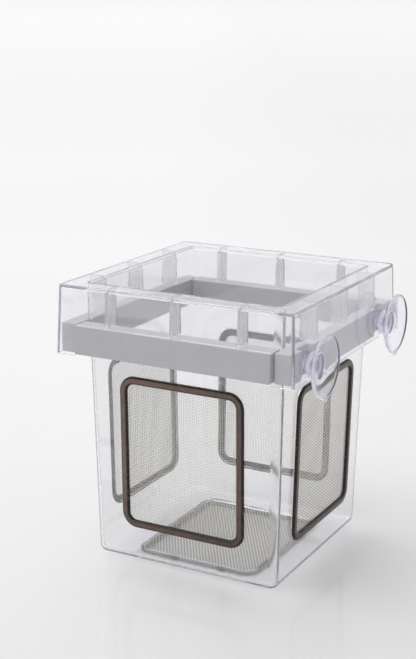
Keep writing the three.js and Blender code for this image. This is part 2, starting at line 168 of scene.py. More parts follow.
class Finishes(bpy.types.PropertyGroup):
    clear: colour("Clear plastic", "Tint of the moulding", (0.985, 0.984, 0.99))
    edge_tint: colour("Edge tint", "Colour that thick clear plastic takes on", (0.45, 0.42, 0.72))
    # Painted shade: grey for the tub's round edges where they turn away from the eye
    outline: colour("Outline", "Clear plastic seen at a grazing angle", (0.34, 0.335, 0.375))
    brown: colour("Brown plastic", "Middle of a ring frame's bar", (0.40, 0.268, 0.208))
    # Painted shade: the dark brown of the bar's edges, its right side and its lower part, also the
    # depth of its mottle
    brown_painted_shade_and_depth: colour("Deep brown", "Edges of a ring frame's bar", (0.020, 0.012, 0.010))
    brown_worn: colour("Worn brown", "Handling marks on the ring frames", (0.26, 0.21, 0.18))
    steel: colour("Steel wire", "Stainless wire", (0.93, 0.915, 0.86))
    steel_dark: colour("Dull wire", "Wire in the crossings", (0.85, 0.83, 0.775))
    # Painted shade: the dark end of the wire's painted bands
    steel_painted_shade: colour("Shaded wire", "Wire that turns away in the twill", (0.14, 0.135, 0.125))
    foam: colour("Foam", "Closed-cell foam", (0.59, 0.585, 0.618))
    foam_cell: colour("Foam cell", "Cut cells of the foam", (0.525, 0.52, 0.55))
    vinyl: colour("Soft vinyl", "Suction cups", (0.97, 0.97, 0.992))
    vinyl_milk: colour("Cloudy vinyl", "Thick parts of the cups", (0.74, 0.72, 0.88))
    vinyl_depth: colour("Vinyl depth", "Colour that thick vinyl takes on", (0.5, 0.48, 0.85))
    floor: colour("Floor", "Plain pale floor", (1.0, 1.0, 1.0))


def sizes(kind):
    """The scene's own values of one property group."""
    return getattr(bpy.context.scene, kind)


# Surfaces


def round_rect(half_x, half_y, corner, steps):
    """Rectangle with round corners, anticlockwise from +X. Each corner is its centre plus
    corner * (cos a, sin a) while a turns a quarter. The sizes may be arrays of one length."""
    half_x, half_y, corner = (
        np.asarray(size, float)[..., None, None] for size in (half_x, half_y, corner)
    )
    quarter = np.arange(4)[:, None]
    angle = (quarter + np.arange(steps + 1) / steps) * QUARTER
    sign_x = np.where((quarter == 0) | (quarter == 3), 1, -1)
    sign_y = np.where(quarter < 2, 1, -1)
    x = sign_x * (half_x - corner) + corner * np.cos(angle)
    y = sign_y * (half_y - corner) + corner * np.sin(angle)
    points = np.stack([x, y], axis=-1)
    return points.reshape(*points.shape[:-3], -1, 2)


def at_height(outline, z):
    """Outlines with a height each: the points (x, y, z)."""
    level = np.broadcast_to(np.asarray(z, float)[..., None], outline.shape[:-1])
    return np.concatenate([outline, level[..., None]], axis=-1)


def bend(out, z, radius, begin, end, steps):
    """Arc of a section: (out + radius cos a, z + radius sin a), with a from begin to end
    in quarter turns. The first value is how far out the arc's centre lies."""
    angle = np.linspace(begin, end, steps + 1) * QUARTER
    return np.stack([out + radius * np.cos(angle), z + radius * np.sin(angle)], axis=-1)


def lattice(rows, columns, wrap_rows=False):
    """Four-sided faces between the neighbours of a grid of points whose columns close up."""
    r = np.arange(rows if wrap_rows else rows - 1)[:, None]
    c = np.arange(columns)[None, :]
    across = (c + 1) % columns
    up = (r + 1) % rows
    corners = [r * columns + c, r * columns + across, up * columns + across, up * columns + c]
    return np.stack(corners, axis=-1).reshape(-1, 4)


def ends(rows, columns):
    """The two many-sided faces that close a grid at its first and last row."""
    first = np.arange(columns)[::-1]
    last = np.arange(columns) + (rows - 1) * columns
    return [first.tolist(), last.tolist()]


def place(points, matrix):
    """Points carried by a 4 x 4 matrix."""
    return points @ matrix[:3, :3].T + matrix[:3, 3]


def turned(axis, angle):
    """Matrix of a turn about an axis of the frame."""
    return np.array(Matrix.Rotation(angle, 4, axis))


def moved(x, y, z):
    """Matrix of a shift."""
    return np.array(Matrix.Translation((x, y, z)))


def make(name, points, faces):
    """A mesh object from an array of points and a list of faces, in the scene."""
    mesh = bpy.data.meshes.new(name)
    mesh.from_pydata(points.reshape(-1, 3), [], faces)
    mesh.validate()
    made = bpy.data.objects.new(name, mesh)
    bpy.context.scene.collection.objects.link(made)
    return made


def grid_piece(name, points, wrap_rows=False):
    """A closed piece from a grid of points: a ring if its rows wrap, or else with flat ends."""
    rows, columns = points.shape[:2]
    faces = lattice(rows, columns, wrap_rows).tolist()
    if not wrap_rows:
        faces += ends(rows, columns)
    return make(name, points, faces)


def smooth(piece, angle=30):
    """Smooth shading with the edges past an angle left sharp, and flat faces kept flat."""
    mesh = piece.data
    mesh.polygons.foreach_set("use_smooth", np.ones(len(mesh.polygons), bool))
    mesh.set_sharp_from_angle(angle=math.radians(angle))
    weighted = piece.modifiers.new("Flat faces first", "WEIGHTED_NORMAL")
    weighted.keep_sharp = True


def settle(piece):
    """Replaces a piece's mesh by what its modifiers make of it."""
    bpy.context.view_layer.update()
    finished = piece.evaluated_get(bpy.context.evaluated_depsgraph_get())
    mesh = bpy.data.meshes.new_from_object(finished)
    piece.modifiers.clear()
    piece.data = mesh


def combine(piece, other, operation):
    """Adds another solid to a piece, or takes it away, and deletes the other."""
    modifier = piece.modifiers.new(operation.title(), "BOOLEAN")
    modifier.operation = operation
    modifier.object = other
    modifier.solver = "EXACT"
    modifier.material_mode = "TRANSFER"
    settle(piece)
    bpy.data.objects.remove(other)


def mark(piece, name, domain, values):
    """Stores a value on each of a piece's points or faces, for its material to read."""
    stored = piece.data.attributes.new(name, "FLOAT", domain)
    stored.data.foreach_set("value", np.asarray(values, np.float32))


def block(name, parts):
    """One object from several separate grids of points with flat ends."""
    points, faces, start = [], [], 0
    for part in parts:
        rows, columns = part.shape[:2]
        own = lattice(rows, columns).tolist() + ends(rows, columns)
        faces += [[start + corner for corner in face] for face in own]
        points.append(part.reshape(-1, 3))
        start += rows * columns
    return make(name, np.concatenate(points), faces)


def finish(piece, body, slot, material, *nodes):
    """Gives a piece its material, hangs it on the empty of the body it rides on, and hides the
    imported parts that it stands for.
    """
    if not piece.data.materials:
        piece.data.materials.append(material)
    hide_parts(*nodes)
    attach(piece, body)


# Places that more than one piece needs


def mouth_half(m):
    """Half width of the opening in the flange."""
    return rim_half(m) - m.flange_reach


def rim_half(m):
    """Half width of the flange, outside."""
    return SKIRT_BOTTOM_HALF - m.skirt_flare


def tub_half(m, z):
    """Half width of the tub's outside at a height: straight from the floor to the top."""
    share = (z - UNDERSIDE) / (TOP - UNDERSIDE)
    return m.base_width / 2 + (mouth_half(m) + m.wall - m.base_width / 2) * share


def skirt_half(m, z):
    """Half width of the skirt's outside at a height."""
    return rim_half(m) + m.skirt_flare * (TOP - z) / m.skirt_drop


def side_frame(quarter, distance, height, lean=0):
    """Frame of an upright side: X along it, Y up it and Z outwards."""
    frame_turn = turned("Z", quarter * QUARTER)
    tip = turned("X", QUARTER + lean)
    return moved(MIDDLE_X, 0, 0) @ frame_turn @ moved(0, -distance, height) @ tip


def ring_span(w):
    """Lower and upper edge of the side ring frames."""
    return UNDERSIDE + w.ring_lift, FLOAT_BOTTOM - w.ring_under_float


def window_frames(m, w):
    """Each window's name with its frame and the length of its ring."""
    low, high = ring_span(w)
    middle = (low + high) / 2
    lean = math.atan((tub_half(m, TOP) - tub_half(m, UNDERSIDE)) / (TOP - UNDERSIDE))
    frames = {
        side: (side_frame(quarter, tub_half(m, middle), middle, lean), high - low)
        for side, quarter in SIDES.items()
    }
    floor_low, floor_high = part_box("floor_ring")
    under = moved(MIDDLE_X, 0, UNDERSIDE) @ turned("X", math.pi)
    frames["floor"] = (under, floor_high.y - floor_low.y)
    return frames


def cup_height(c):
    """Height of the cups' axes."""
    return TOP - sizes("moulding").skirt_drop + c.rise


# Shader helpers


def add_node(tree, kind, inputs=None, **settings):
    """A node with its settings, its plain input values, and the sockets that feed it."""
    made = tree.nodes.new(kind)
    for name, value in settings.items():
        setattr(made, name, value)
    for name, value in (inputs or {}).items():
        socket = made.inputs[name]
        if isinstance(value, bpy.types.NodeSocket):
            tree.links.new(value, socket)
        else:
            socket.default_value = value
    return made


def rgba(value):
    """A colour with nothing of it see-through."""
    return (*value, 1)


def math_node(tree, operation, first, second=0.0):
    """What one sum or comparison gives."""
    return add_node(tree, "ShaderNodeMath", {0: first, 1: second}, operation=operation).outputs[0]


def product(tree, first, *others):
    """Several values multiplied together."""
    for other in others:
        first = math_node(tree, "MULTIPLY", first, other)
    return first


def spread(tree, value, span, onto=(0, 1)):
    """A value mapped from one range onto another, and held inside it."""
    inputs = {
        "Value": value, "From Min": span[0], "From Max": span[1],
        "To Min": onto[0], "To Max": onto[1],
    }
    return add_node(tree, "ShaderNodeMapRange", inputs).outputs["Result"]


def blend_colour(tree, share, first, second):
    """A mix of two colours, each a plain colour or a socket."""
    mix = add_node(tree, "ShaderNodeMix", {0: share, 6: first, 7: second}, data_type="RGBA")
    return mix.outputs[2]


def blend_shader(tree, share, first, second):
    """A mix of two surfaces."""
    return add_node(tree, "ShaderNodeMixShader", {0: share, 1: first, 2: second}).outputs[0]


def principled(tree, inputs):
    """A surface with the given inputs."""
    return add_node(tree, "ShaderNodeBsdfPrincipled", inputs).outputs[0]


def noise(tree, where, scale, detail):
    """Soft noise at a scale, as a value."""
    inputs = {"Vector": where, "Scale": scale, "Detail": detail}
    return add_node(tree, "ShaderNodeTexNoise", inputs).outputs["Fac"]


def cells(tree, where, scale):
    """Distance from the nearest of scattered cell centres."""
    inputs = {"Vector": where, "Scale": scale}
    return add_node(tree, "ShaderNodeTexVoronoi", inputs).outputs["Distance"]


def bump(tree, height, strength, distance):
    """A normal that makes a smooth face look as uneven as a height says."""
    inputs = {"Height": height, "Strength": strength, "Distance": distance}
    return add_node(tree, "ShaderNodeBump", inputs).outputs["Normal"]


def distance_along(tree, where, direction):
    """How far a point lies along a direction, in metres."""
    made = add_node(
        tree, "ShaderNodeVectorMath", {0: where, 1: direction}, operation="DOT_PRODUCT"
    )
    return made.outputs["Value"]


def stripes(tree, where, direction, period):
    """Soft stripes from 0 to 1 across a direction:
    (1 + sin(2 pi place . direction / period)) / 2."""
    turns = product(tree, distance_along(tree, where, direction), 2 * math.pi / period)
    return spread(tree, math_node(tree, "SINE", turns), (-1, 1))


def share_of(tree, attribute):
    """A value from 0 to 1 that is stored on the mesh."""
    return add_node(tree, "ShaderNodeAttribute", attribute_name=attribute).outputs["Fac"]


def new_group(name, inputs, outputs):
    """An empty node group with a place and float inputs, and with float outputs. Gives its
    tree, what comes into it, and what goes out of it."""
    tree = bpy.data.node_groups.new(name, "ShaderNodeTree")
    tree.interface.new_socket("Place", in_out="INPUT", socket_type="NodeSocketVector")
    for label, value in inputs.items():
        socket = tree.interface.new_socket(label, in_out="INPUT", socket_type="NodeSocketFloat")
        socket.default_value = value
    for label in outputs:
        tree.interface.new_socket(label, in_out="OUTPUT", socket_type="NodeSocketFloat")
    return tree, tree.nodes.new("NodeGroupInput").outputs, tree.nodes.new("NodeGroupOutput").inputs


def use_group(tree, name, where, **values):
    """A node group placed in a material, with its own values."""
    return add_node(
        tree, "ShaderNodeGroup", {"Place": where, **values}, node_tree=bpy.data.node_groups[name]
    )


def moulded_group():
    """Moulded plastic: slow flow ripples, and a fine grain that breaks up the gloss."""
    tree, given, out = new_group("Moulded skin", {"Flow": 60, "Grain": 2500}, ["Ripple", "Grain"])
    tree.links.new(noise(tree, given["Place"], given["Flow"], detail=2), out["Ripple"])
    tree.links.new(noise(tree, given["Place"], given["Grain"], detail=3), out["Grain"])


def scratch_group():
    """Hair scratches from handling: thin lines where a stretched noise crosses its middle."""
    tree, given, out = new_group("Hair scratches", {"Scale": 90, "Width": 0.006}, ["Mask"])
    stretched = add_node(
        tree,
        "ShaderNodeMapping",
        {"Vector": given["Place"], "Rotation": (0.3, 0.5, 0.7), "Scale": (1, 0.25, 3)},
    )
    height = noise(tree, stretched.outputs[0], given["Scale"], detail=1)
    from_middle = math_node(tree, "ABSOLUTE", math_node(tree, "SUBTRACT", height, 0.5))
    tree.links.new(spread(tree, from_middle, (0, given["Width"]), (1, 0)), out["Mask"])


def dust_group():
    """Dust specks: round spots at scattered cell centres, where a slow noise lets them show."""
    tree, given, out = new_group("Dust specks", {"Scale": 900, "Size": 0.12}, ["Mask"])
    from_centre = cells(tree, given["Place"], given["Scale"])
    spot = math_node(tree, "LESS_THAN", from_centre, given["Size"])
    drift = noise(tree, given["Place"], scale=55, detail=1)
    shown = spread(tree, drift, (0.55, 0.7))
    tree.links.new(product(tree, spot, shown), out["Mask"])


# Finishes


def new_material(name):
    """A material with its tree, its output's inputs, and the Object coordinates."""
    material = bpy.data.materials.new(name)
    material.use_nodes = True
    tree = material.node_tree
    tree.nodes.clear()
    out = tree.nodes.new("ShaderNodeOutputMaterial").inputs
    where = tree.nodes.new("ShaderNodeTexCoord").outputs["Object"]
    return material, tree, out, where


def let_light_through(tree, out, plastic, tint):
    """Glass for the eye, and clear for the rays that carry light to what is behind it."""
    path = tree.nodes.new("ShaderNodeLightPath").outputs
    passing = math_node(tree, "MAXIMUM", path["Is Shadow Ray"], path["Is Diffuse Ray"])
    clear = add_node(tree, "ShaderNodeBsdfTransparent", {"Color": rgba(tint)}).outputs[0]
    tree.links.new(blend_shader(tree, passing, plastic, clear), out["Surface"])


def tint_inside(tree, out, tint, density):
    """Colour that light takes on along its way through the plastic."""
    inputs = {"Color": rgba(tint), "Density": density}
    inside = add_node(tree, "ShaderNodeVolumeAbsorption", inputs).outputs[0]
    tree.links.new(inside, out["Volume"])


def clear_surface(tree, where):
    """Clear gloss broken by faint ripples, hair scratches and a little dust. It is duller on
    the round edges that the mesh marks, so that what shows through them is soft."""
    f = sizes("finishes")
    dust_colour = (0.86, 0.86, 0.87)
    skin = use_group(tree, "Moulded skin", where, Flow=45, Grain=1800).outputs
    scratches = use_group(tree, "Hair scratches", where, Scale=70, Width=0.004).outputs
    dust = use_group(tree, "Dust specks", where, Scale=700, Size=0.09).outputs
    marks = math_node(tree, "MAXIMUM", scratches["Mask"], dust["Mask"])
    dull_edge = product(tree, share_of(tree, "round"), 0.1)
    rough = math_node(tree, "ADD", spread(tree, marks, (0, 1), (0.025, 0.22)), dull_edge)
    return principled(tree, {
        "Base Color": blend_colour(tree, dust["Mask"], rgba(f.clear), rgba(dust_colour)),
        "Roughness": rough, "Normal": bump(tree, skin["Ripple"], strength=0.012, distance=0.0006),
        "IOR": PLASTIC_IOR, "Transmission Weight": 0.97,
    })


def frosted_surface(tree, where):
    """The ribs' faces: the same plastic with drawn streaks that scatter the light."""
    cloudy, clean = (0.90, 0.895, 0.91), (0.975, 0.97, 0.98)
    drawn_out = add_node(tree, "ShaderNodeMapping", {"Vector": where, "Scale": (1, 1, 0.06)})
    streaks = use_group(
        tree, "Moulded skin", drawn_out.outputs[0], Flow=900, Grain=3500
    ).outputs
    height = math_node(tree, "ADD", streaks["Ripple"], streaks["Grain"])
    return principled(tree, {
        "Base Color": blend_colour(tree, streaks["Ripple"], rgba(cloudy), rgba(clean)),
        "Roughness": spread(tree, streaks["Ripple"], (0.3, 0.7), (0.18, 0.42)),
        "Normal": bump(tree, height, strength=0.5, distance=0.0003),
        "IOR": PLASTIC_IOR, "Transmission Weight": 0.8,
    })


def clear_plastic():
    """The whole moulding, in one material so that light which enters through one face and
    leaves through another is tinted in between only. The tub's round edges, which the mesh
    marks, turn grey where they turn away from the eye: painted shade that stands in for the
    dark lines that the edges of clear plastic show."""
    f = sizes("finishes")
    material, tree, out, where = new_material("Clear plastic")
    # Painted shade: the marked round edges turn grey as they turn away from the eye
    facing = add_node(tree, "ShaderNodeLayerWeight", {"Blend": 0.5}).outputs["Facing"]
    turning_away = spread(tree, facing, (0.55, 0.8), (0, 0.95))
    painted_edge_shade = product(tree, turning_away, share_of(tree, "round"))
    edge = principled(tree, {"Base Color": rgba(f.outline), "Roughness": 0.3})
    gloss = blend_shader(tree, painted_edge_shade, clear_surface(tree, where), edge)
    plastic = blend_shader(tree, share_of(tree, "rib"), gloss, frosted_surface(tree, where))
    let_light_through(tree, out, plastic, tint=(0.98, 0.98, 0.981))
    tint_inside(tree, out, f.edge_tint, density=9.0)
    return material


def brown_plastic():
    """Ring frames: glossy brown with painted shade that darkens it towards the edges of the bar,
    to the right and low down, and a lighter painted highlight along the bar's middle, with a
    mottled depth, a fine grid where wire lies behind it, handling marks and dust."""
    f = sizes("finishes")
    dust_colour = (0.42, 0.40, 0.38)
    grid_pitch = 0.0009
    material, tree, out, where = new_material("Brown plastic")
    skin = use_group(tree, "Moulded skin", where, Flow=160, Grain=2200).outputs
    scratches = use_group(tree, "Hair scratches", where, Scale=140, Width=0.01).outputs
    dust = use_group(tree, "Dust specks", where, Scale=800, Size=0.10).outputs
    grid = product(
        tree, stripes(tree, where, RIGHT, grid_pitch), stripes(tree, where, UP, grid_pitch)
    )
    # Painted shade and highlight: darker at the bar's edges, to the right and low down, lighter
    # along its middle; the mottle and the wire grid darken it too
    light = product(
        tree,
        spread(tree, share_of(tree, "bar"), (0.3, 0.72)),
        spread(tree, distance_along(tree, where, RIGHT), (-0.02, 0.05), (1, 0.5)),
        spread(tree, distance_along(tree, where, UP), (0.02, 0.05), (0.6, 1)),
        spread(tree, skin["Ripple"], (0.3, 0.6), (0.75, 1)),
        spread(tree, grid, (0, 1), (0.6, 1)),
    )
    depth = blend_colour(tree, light, rgba(f.brown_painted_shade_and_depth), rgba(f.brown))
    worn = product(tree, scratches["Mask"], 0.5)
    handled = blend_colour(tree, worn, depth, rgba(f.brown_worn))
    shader = principled(tree, {
        "Base Color": blend_colour(tree, dust["Mask"], handled, rgba(dust_colour)),
        "Roughness": spread(tree, skin["Grain"], (0.3, 0.7), (0.14, 0.3)),
        "Normal": bump(tree, skin["Grain"], strength=0.12, distance=0.0002),
        "IOR": 1.5, "Specular IOR Level": 0.3,
    })
    tree.links.new(shader, out["Surface"])
    return material


def steel_wire(name, slope, period, least):
    """Stainless wire: duller patches, and slanting bands of light and dark wire that are painted
    sheen and shade. They lie across (1, 0.6, slope), one to each period, and the darkest wire
    keeps the given least share of its own colour."""
    f = sizes("finishes")
    material, tree, out, where = new_material(name)
    skin = use_group(tree, "Moulded skin", where, Flow=55, Grain=3000).outputs
    dull = spread(tree, skin["Ripple"], (0.35, 0.7), (0, 0.8))
    wire = blend_colour(tree, dull, rgba(f.steel), rgba(f.steel_dark))
    # Painted sheen and shade: slanting bands of lighter and darker wire
    bands = stripes(tree, where, (1.0, 0.6, slope), period)
    painted_lit_share = spread(tree, bands, (0.2, 0.8), (least, 1))
    shader = principled(tree, {
        "Base Color": blend_colour(tree, painted_lit_share, rgba(f.steel_painted_shade), wire),
        "Roughness": spread(tree, skin["Grain"], (0.3, 0.7), (0.28, 0.45)),
        "Metallic": 0.9,
    })
    tree.links.new(shader, out["Surface"])
    return material


def closed_cell_foam():
    """Cut closed-cell foam: tiny open cells, a mottled body colour and a dull skin."""
    f = sizes("finishes")
    material, tree, out, where = new_material("Closed-cell foam")
    from_centre = cells(tree, where, scale=1400)
    mottle = noise(tree, where, scale=90, detail=4)
    cell_wall = product(
        tree, spread(tree, from_centre, (0.15, 0.75)),
        spread(tree, mottle, (0.3, 0.7), (0.35, 0.9)),
    )
    shader = principled(tree, {
        "Base Color": blend_colour(tree, cell_wall, rgba(f.foam), rgba(f.foam_cell)),
        "Roughness": spread(tree, mottle, (0.3, 0.7), (0.78, 0.95)),
        "Normal": bump(tree, from_centre, strength=0.2, distance=0.0003),
        "IOR": 1.4,
    })
    tree.links.new(shader, out["Surface"])
    return material


def soft_vinyl():
    """Suction cups: soft clear vinyl with a lavender tint, dust specks and faint ripples."""
    f = sizes("finishes")
    dust_colour = (0.8, 0.8, 0.82)
    material, tree, out, where = new_material("Soft vinyl")
    skin = use_group(tree, "Moulded skin", where, Flow=220, Grain=1500).outputs
    dust = use_group(tree, "Dust specks", where, Scale=1100, Size=0.08).outputs
    clear = principled(tree, {
        "Base Color": blend_colour(tree, dust["Mask"], rgba(f.vinyl), rgba(dust_colour)),
        "Roughness": spread(tree, skin["Ripple"], (0.35, 0.7), (0.04, 0.14)),
        "Normal": bump(tree, skin["Ripple"], strength=0.06, distance=0.0004),
        "IOR": VINYL_IOR, "Transmission Weight": 1.0,
    })
    let_light_through(tree, out, clear, tint=(0.965, 0.965, 0.97))
    tint_inside(tree, out, f.vinyl_depth, density=40.0)
    return material


def milky_vinyl():
    """The cups' thick parts, body and rim, where the vinyl looks lavender and cloudy."""
    f = sizes("finishes")
    material, tree, out, where = new_material("Milky vinyl")
    skin = use_group(tree, "Moulded skin", where, Flow=300, Grain=1800).outputs
    cloudy = principled(tree, {
        "Base Color": blend_colour(tree, skin["Ripple"], rgba(f.vinyl_milk), rgba(f.vinyl)),
        "Roughness": spread(tree, skin["Ripple"], (0.35, 0.7), (0.1, 0.25)),
        "Normal": bump(tree, skin["Grain"], strength=0.1, distance=0.0003),
        "IOR": VINYL_IOR, "Transmission Weight": 0.82,
    })
    let_light_through(tree, out, cloudy, tint=(0.95, 0.95, 0.965))
    return material


def floor_paper():
    """Seamless pale paper with a faint gloss, and painted light and shade on it. It gets paler
    along one line over the floor, to the back and left, and a little duller along the line square
    to it, to the right."""
    f = sizes("finishes")
    painted_light_along, painted_shade_along = (-0.472, 0.881, 0), (0.881, 0.472, 0)
    # Painted light: how pale the paper is at the near end of the first line, at shares of it, and
    # far off
    near, far = (0.80, 0.80, 0.805), (0.948, 0.948, 0.953)
    between = {0.033: 0.83, 0.077: 0.87, 0.2: 0.915, 0.43: 0.938}
    coolness = 1.006
    darker_fibre = 0.985
    material, tree, out, where = new_material("Floor paper")
    # Painted light: the paper gets paler towards the back and left
    away = spread(tree, distance_along(tree, where, painted_light_along), (-0.2, 2.0))
    painted_paleness = add_node(tree, "ShaderNodeValToRGB", {0: away})
    stops = painted_paleness.color_ramp.elements
    for share, level in between.items():
        stops.new(share).color = (level, level, level * coolness, 1)
    stops[0].color = rgba(near)
    stops[-1].color = rgba(far)
    # Painted shade: the paper gets a little duller towards the right
    painted_dimming = spread(tree, distance_along(tree, where, painted_shade_along), (-0.1, 0.25), (1, 0.93))
    painted_dimmed = blend_colour(tree, painted_dimming, (0, 0, 0, 1), painted_paleness.outputs[0])
    fibre_colour = rgba([value * darker_fibre for value in f.floor])
    mottle = noise(tree, where, scale=40, detail=4)
    fibres = blend_colour(tree, mottle, rgba(f.floor), fibre_colour)
    base = add_node(tree, "ShaderNodeVectorMath", {0: painted_dimmed, 1: fibres}, operation="MULTIPLY")
    shader = principled(tree, {"Base Color": base.outputs[0], "Roughness": 0.08, "IOR": 1.2})
    tree.links.new(shader, out["Surface"])
    return material


# Stage


class BREEDINGBOX_OT_stage(bpy.types.Operator):
    """Floor, soft light, world and the camera"""

    bl_idname = "breedingbox.stage"
    bl_label = "Stage"

    def execute(self, context):
        scene = context.scene
        scene.view_settings.view_transform = "Standard"
        # Light needs many bounces to find its way out of the clear walls
        bounces = 48
        scene.cycles.max_bounces = bounces
        scene.cycles.transmission_bounces = bounces
        scene.cycles.glossy_bounces = bounces
        scene.cycles.transparent_max_bounces = bounces // 2
        make_floor()
        make_lights()
        make_world(scene)
        make_camera(scene)
        return {"FINISHED"}


def make_floor():
    """One flat face that runs far out of view."""
    reach = 60.0
    corners = np.array([[-1, -1, 0], [1, -1, 0], [1, 1, 0], [-1, 1, 0]]) * reach
    floor = make("floor", corners, [[0, 1, 2, 3]])
    floor.data.materials.append(floor_paper())


def far_softbox(name, towards, wide, strength):
    """A light so far off that it falls evenly on the whole floor. It stands in the given
    direction, and looks as wide as the given angle in degrees."""
    data = bpy.data.lights.new(name, "SUN")
    data.energy = strength
    data.angle = math.radians(wide)
    light = bpy.data.objects.new(name, data)
    bpy.context.scene.collection.objects.link(light)
    light.rotation_euler = Vector(towards).to_track_quat("Z", "Y").to_euler()


def make_lights():
    """A broad light from the upper left, and a faint one from the front."""
    far_softbox("left softbox", towards=(-0.52, 0.03, 0.85), wide=75, strength=1.9)
    far_softbox("front fill", towards=(-0.5, -0.8, 0.55), wide=70, strength=0.12)


def make_world(scene):
    """White light from all round, and a pale backdrop for the rays that see it."""
    backdrop, ambient = (0.91, 0.905, 0.92), 0.48
    world = bpy.data.worlds.new("studio")
    world.use_nodes = True
    tree = world.node_tree
    tree.nodes.clear()
    out = tree.nodes.new("ShaderNodeOutputWorld").inputs
    path = tree.nodes.new("ShaderNodeLightPath").outputs
    seen = math_node(tree, "MAXIMUM", path["Is Camera Ray"], path["Is Glossy Ray"])
    seen = math_node(tree, "MAXIMUM", seen, path["Is Transmission Ray"])
    light, shown = (
        add_node(tree, "ShaderNodeBackground", {"Color": tint, "Strength": strength}).outputs[0]
        for tint, strength in (((1, 1, 1, 1), ambient), (rgba(backdrop), 1.0))
    )
    tree.links.new(blend_shader(tree, seen, light, shown), out["Surface"])
    scene.world = world


def make_camera(scene):
    """The photo's viewpoint: the camera looks along (sin yaw cos pitch, cos yaw cos pitch,
    sin pitch), and is then rolled about that line."""
    eye = (0.31013, -0.61348, 0.30124)
    yaw, pitch, roll = math.radians(-28.18), math.radians(-14.77), math.radians(0.25)
    data = bpy.data.cameras.new("camera")
    data.sensor_width = 36
    data.lens = 73.36
    data.clip_start = 0.05
    data.clip_end = 200
    camera = bpy.data.objects.new("camera", data)
    scene.collection.objects.link(camera)
    forward = np.array(
        [math.sin(yaw) * math.cos(pitch), math.cos(yaw) * math.cos(pitch), math.sin(pitch)]
    )
    right = np.cross(forward, [0, 0, 1])
    right /= np.linalg.norm(right)
    up = np.cross(right, forward)
    rolled_right = math.cos(roll) * right + math.sin(roll) * up
    rolled_up = math.cos(roll) * up - math.sin(roll) * right
    pose = Matrix.Identity(4)
    pose.col[0][:3] = rolled_right
    pose.col[1][:3] = rolled_up
    pose.col[2][:3] = -forward
    pose.col[3][:3] = eye
    camera.matrix_world = pose
    scene.camera = camera


# Clear moulding


def moulding_section(m):
    """Section of the moulding as rows of (half width, corner radius, height), from under the
    floor up the outside, across to the skirt, round its edge, over the flange and down inside.
    Each part is an arc, and straight stretches join them."""
    under = TOP - m.flange_thick
    bottom = TOP - m.skirt_drop
    skirt_in = skirt_half(m, under) - m.skirt_wall
    inner_corner = m.tub_corner - m.wall
    floor_top = UNDERSIDE + m.floor_thick
    low_in = SKIRT_BOTTOM_HALF - m.skirt_wall
    arcs = [
        # (half width, corner radius and height of the arc's centre, radius, from, to, steps)
        (tub_half(m, UNDERSIDE + m.heel) - m.heel, m.tub_corner - m.heel, UNDERSIDE + m.heel,
         m.heel, -1, 0, HEEL_STEPS),
        (tub_half(m, under - m.root) + m.root, m.tub_corner + m.root, under - m.root,
         m.root, 2, 1, 4),
        (skirt_in - m.root, m.inner_corner - m.root, under - m.root,
         m.root, 1, 0, 4),
        (low_in + m.skirt_edge, m.inner_corner + m.skirt_edge, bottom + m.skirt_edge,
         m.skirt_edge, 2, 3, 3),
        (SKIRT_BOTTOM_HALF - m.skirt_edge, m.skirt_corner - m.skirt_edge,
         bottom + m.skirt_edge, m.skirt_edge, 3, 4, 3),
        (skirt_half(m, TOP - m.flange_edge) - m.flange_edge, m.skirt_corner - m.flange_edge,
         TOP - m.flange_edge, m.flange_edge, 0, 1, 5),
        (mouth_half(m) + m.mouth_edge, m.mouth_corner + m.mouth_edge, TOP - m.mouth_edge,
         m.mouth_edge, 1, 2, 4),
        (tub_half(m, floor_top + m.inner_heel) - m.wall - m.inner_heel,
         inner_corner - m.inner_heel, floor_top + m.inner_heel, m.inner_heel,
         0, -1, HEEL_STEPS),
    ]
    rows = []
    for half, corner, z, radius, begin, end, steps in arcs:
        arc = bend(half, z, radius, begin, end, steps)
        rows.append(np.stack([arc[:, 0], arc[:, 0] - half + corner, arc[:, 1]], axis=-1))
    share = np.linspace(0, 1, WALL_STEPS + 1)[1:-1, None]
    rows.insert(-1, rows[-2][-1] * (1 - share) + rows[-1][0] * share)
    return np.concatenate(rows)


def round_faces(rows, columns):
    """Marks of 1 on the faces of the tub's round edges, and 0 on the others and on the two
    end faces. The heel has the first rows on the outside and the last ones on the inside, and
    next to them come those of the walls, which are marked on the upright corners."""
    row = np.arange(rows - 1)[:, None]
    from_last = rows - 2 - row
    in_corner = np.arange(columns) % (CORNER_STEPS + 1) != CORNER_STEPS
    heels = (row < HEEL_STEPS) | (from_last < HEEL_STEPS)
    walls = (row == HEEL_STEPS) | (from_last < HEEL_STEPS + WALL_STEPS)
    return np.append(heels | (walls & in_corner), [0, 0])


def prism(outline, low, high):
    """Two copies of an outline, at z = low and z = high."""
    return at_height(np.stack([outline, outline]), [low, high])


def rib(m, quarter, along):
    """Blade across the channel: a tall four-sided section between tub and skirt, as thick as
    rib_thick, placed along its side."""
    low = FLOAT_TOP + m.rib_clear
    high = TOP - m.flange_thick + m.rib_embed
    section = np.array([
        [tub_half(m, low) - m.rib_embed, low],
        [skirt_half(m, low) - m.skirt_wall + m.rib_embed, low],
        [skirt_half(m, high) - m.skirt_wall + m.rib_embed, high],
        [tub_half(m, high) - m.rib_embed, high],
    ])
    thick = np.array([-m.rib_thick / 2, m.rib_thick / 2])
    points = np.empty((2, 4, 3))
    points[..., 0] = along + thick[:, None]
    points[..., 1] = -section[:, 0]
    points[..., 2] = section[:, 1]
    return place(points, moved(MIDDLE_X, 0, 0) @ turned("Z", quarter * QUARTER))


